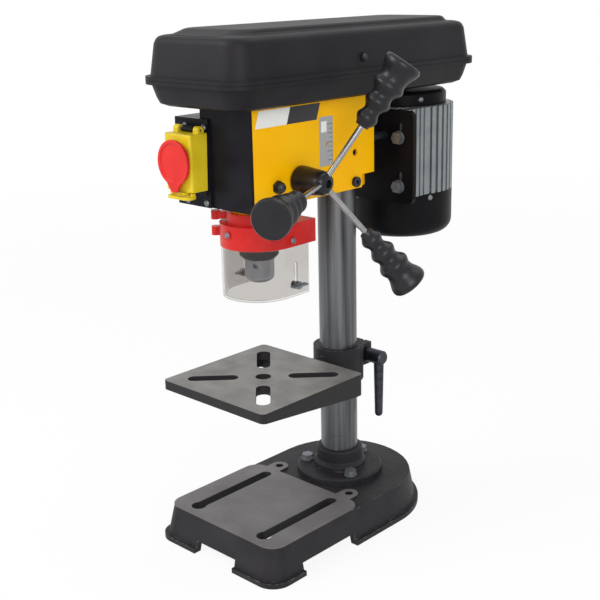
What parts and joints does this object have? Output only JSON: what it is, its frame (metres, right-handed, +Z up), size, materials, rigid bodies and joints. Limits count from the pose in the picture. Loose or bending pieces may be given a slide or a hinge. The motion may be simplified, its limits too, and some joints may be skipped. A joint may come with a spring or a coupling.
{
  "type": "drill press",
  "caption": "Benchtop drill press with a yellow head, black belt case, red chuck guard, three feed handles, a square slotted table on a round column and a cast iron base",
  "frame": {"origin": "column axis at the plane of the bench", "axes": "X to the operator's right, Y to the back, Z up"},
  "size_m": [0.25, 0.4379, 0.5963],
  "materials": {
    "iron_dark": "dark painted casting",
    "machined_iron": "planed face",
    "bolt_steel": "zinc plated",
    "ground_steel": "ground bright",
    "black_steel": "blackened",
    "plated_rod": "plated",
    "yellow_paint": "gloss paint",
    "black_paint": "satin paint",
    "scale_metal": "printed plate left bare",
    "bare_aluminium": "die cast",
    "black_plastic": "fine texture",
    "grip_plastic": "moulded",
    "yellow_plastic": "moulded",
    "red_plastic": "moulded",
    "green_plastic": "moulded",
    "clear_plastic": "clear moulded sheet",
    "belt_rubber": "moulded",
    "copper_winding": "lacquered winding"
  },
  "bodies": {
    "frame": {"base_casting": "iron_dark", "column_flange": "iron_dark", "flange_bolts": "bolt_steel", "column_tube": "ground_steel", "head_casting": "yellow_paint", "head_set_screws": "black_steel", "quill_guide_screw": "black_steel", "scale_plate": "scale_metal", "front_panel": "black_plastic", "panel_screws": "bolt_steel", "cable_gland": "black_plastic", "switch_body": "black_plastic", "switch_hinge_pin": "bolt_steel", "sleeve_bearings": "ground_steel", "belt_case": "black_plastic", "lid_hinge_pins": "bolt_steel", "spring_housing": "black_plastic", "return_spring": "black_steel", "drive_belt": "belt_rubber"},
    "table_support": {"table_bracket": "iron_dark", "tilt_bolt": "bolt_steel", "clamp_screw": "bolt_steel"},
    "table": {"table": "machined_iron"},
    "clamp_lever": {"clamp_lever": "black_steel"},
    "switch_cover": {"switch_cover": "yellow_plastic", "stop_pad": "red_plastic"},
    "start_button": {"start_button": "green_plastic"},
    "stop_button": {"stop_button": "red_plastic"},
    "quill": {"quill": "ground_steel", "quill_bearings": "ground_steel"},
    "spindle": {"spindle": "ground_steel", "chuck_body": "black_steel"},
    "chuck_ring": {"chuck_ring": "black_steel"},
    "jaw_1": {"chuck_jaw_1": "black_steel"},
    "jaw_2": {"chuck_jaw_2": "black_steel"},
    "jaw_3": {"chuck_jaw_3": "black_steel"},
    "pulley": {"spindle_pulley": "bare_aluminium", "drive_sleeve": "ground_steel"},
    "lid": {"belt_lid": "black_plastic", "lid_screw": "black_steel"},
    "feed": {"feed_shaft": "ground_steel", "feed_hub": "black_steel", "feed_rods": "plated_rod", "feed_grips": "grip_plastic"},
    "motor": {"motor_frame": "bare_aluminium", "motor_end_bell": "black_paint", "fan_cover": "black_plastic", "motor_stator": "copper_winding", "motor_bearings": "ground_steel", "motor_plate": "black_paint", "motor_bolts": "bolt_steel", "slide_bars": "ground_steel"},
    "rotor": {"motor_rotor": "ground_steel", "motor_pulley": "bare_aluminium", "cooling_fan": "black_plastic"},
    "guard": {"guard_bracket": "red_plastic", "guard_screws": "bolt_steel", "guard_sleeve": "clear_plastic", "wing_nuts": "bolt_steel"},
    "shield": {"guard_shield": "clear_plastic"}
  },
  "joints": [
    {"name": "table_height", "type": "slide", "parent": "frame", "child": "table_support", "axis": [0, 0, -1], "range_m": [-0.045, 0.045]},
    {"name": "table_tilt", "type": "hinge", "parent": "table_support", "child": "table", "pos_m": [0, -0.045, 0.183], "axis": [0, 1, 0], "range_deg": [-45, 45]},
    {"name": "clamp_turn", "type": "hinge", "parent": "table_support", "child": "clamp_lever", "pos_m": [0.025, 0.04, 0.187], "axis": [1, 0, 0], "range_deg": [-25, 95]},
    {"name": "cover_flip", "type": "hinge", "parent": "frame", "child": "switch_cover", "pos_m": [-0.045, -0.187, 0.491], "axis": [-1, 0, 0], "range_deg": [0, 70]},
    {"name": "start_press", "type": "slide", "parent": "frame", "child": "start_button", "axis": [0, 1, 0], "range_m": [0, 0.003], "stiffness_N_per_m": 300, "springref_m": -0.001},
    {"name": "stop_press", "type": "slide", "parent": "frame", "child": "stop_button", "axis": [0, 1, 0], "range_m": [0, 0.003], "stiffness_N_per_m": 300, "springref_m": -0.001},
    {"name": "quill_feed", "type": "slide", "parent": "frame", "child": "quill", "axis": [0, 0, -1], "range_m": [0, 0.05105], "stiffness_N_per_m": 400, "springref_m": -0.06},
    {"name": "feed_turn", "type": "hinge", "parent": "frame", "child": "feed", "pos_m": [0.038, -0.10318, 0.433], "axis": [1, 0, 0], "range_deg": [0, 312]},
    {"name": "spindle_spin", "type": "hinge", "parent": "quill", "child": "spindle", "pos_m": [0, -0.131, 0.36], "axis": [0, 0, 1], "continuous": true},
    {"name": "ring_turn", "type": "hinge", "parent": "spindle", "child": "chuck_ring", "pos_m": [0, -0.131, 0.357], "axis": [0, 0, 1], "range_deg": [0, 720]},
    {"name": "jaw_slide_1", "type": "slide", "parent": "spindle", "child": "jaw_1", "axis": [-0.2588, 0, -0.9659], "range_m": [0, 0.0134]},
    {"name": "jaw_slide_2", "type": "slide", "parent": "spindle", "child": "jaw_2", "axis": [0.1294, -0.2241, -0.9659], "range_m": [0, 0.0134]},
    {"name": "jaw_slide_3", "type": "slide", "parent": "spindle", "child": "jaw_3", "axis": [0.1294, 0.2241, -0.9659], "range_m": [0, 0.0134]},
    {"name": "motor_tension", "type": "slide", "parent": "frame", "child": "motor", "axis": [0, -1, 0], "range_m": [0, 0.009]},
    {"name": "motor_spin", "type": "hinge", "parent": "motor", "child": "rotor", "pos_m": [0, 0.123, 0.5], "axis": [0, 0, 1], "continuous": true},
    {"name": "pulley_spin", "type": "hinge", "parent": "frame", "child": "pulley", "pos_m": [0, -0.131, 0.55], "axis": [0, 0, 1], "continuous": true},
    {"name": "lid_open", "type": "hinge", "parent": "frame", "child": "lid", "pos_m": [-0.0903, 0, 0.54415], "axis": [0, -1, 0], "range_deg": [0, 100]},
    {"name": "guard_swing", "type": "hinge", "parent": "frame", "child": "guard", "pos_m": [0, -0.131, 0.39], "axis": [0, 0, 1], "range_deg": [-100, 0]},
    {"name": "shield_slide", "type": "slide", "parent": "guard", "child": "shield", "axis": [0, 0, -1], "range_m": [0, 0.024]}
  ],
  "couplings": [
    {"joint": "feed_turn", "follows": "quill_feed", "rad_per_m": 106.67},
    {"joint": "spindle_spin", "follows": "motor_spin", "ratio": 1},
    {"joint": "pulley_spin", "follows": "motor_spin", "ratio": 1},
    {"joint": "jaw_slide_1", "follows": "ring_turn", "m_per_rad": 0.0010663},
    {"joint": "jaw_slide_2", "follows": "ring_turn", "m_per_rad": 0.0010663},
    {"joint": "jaw_slide_3", "follows": "ring_turn", "m_per_rad": 0.0010663}
  ]
}
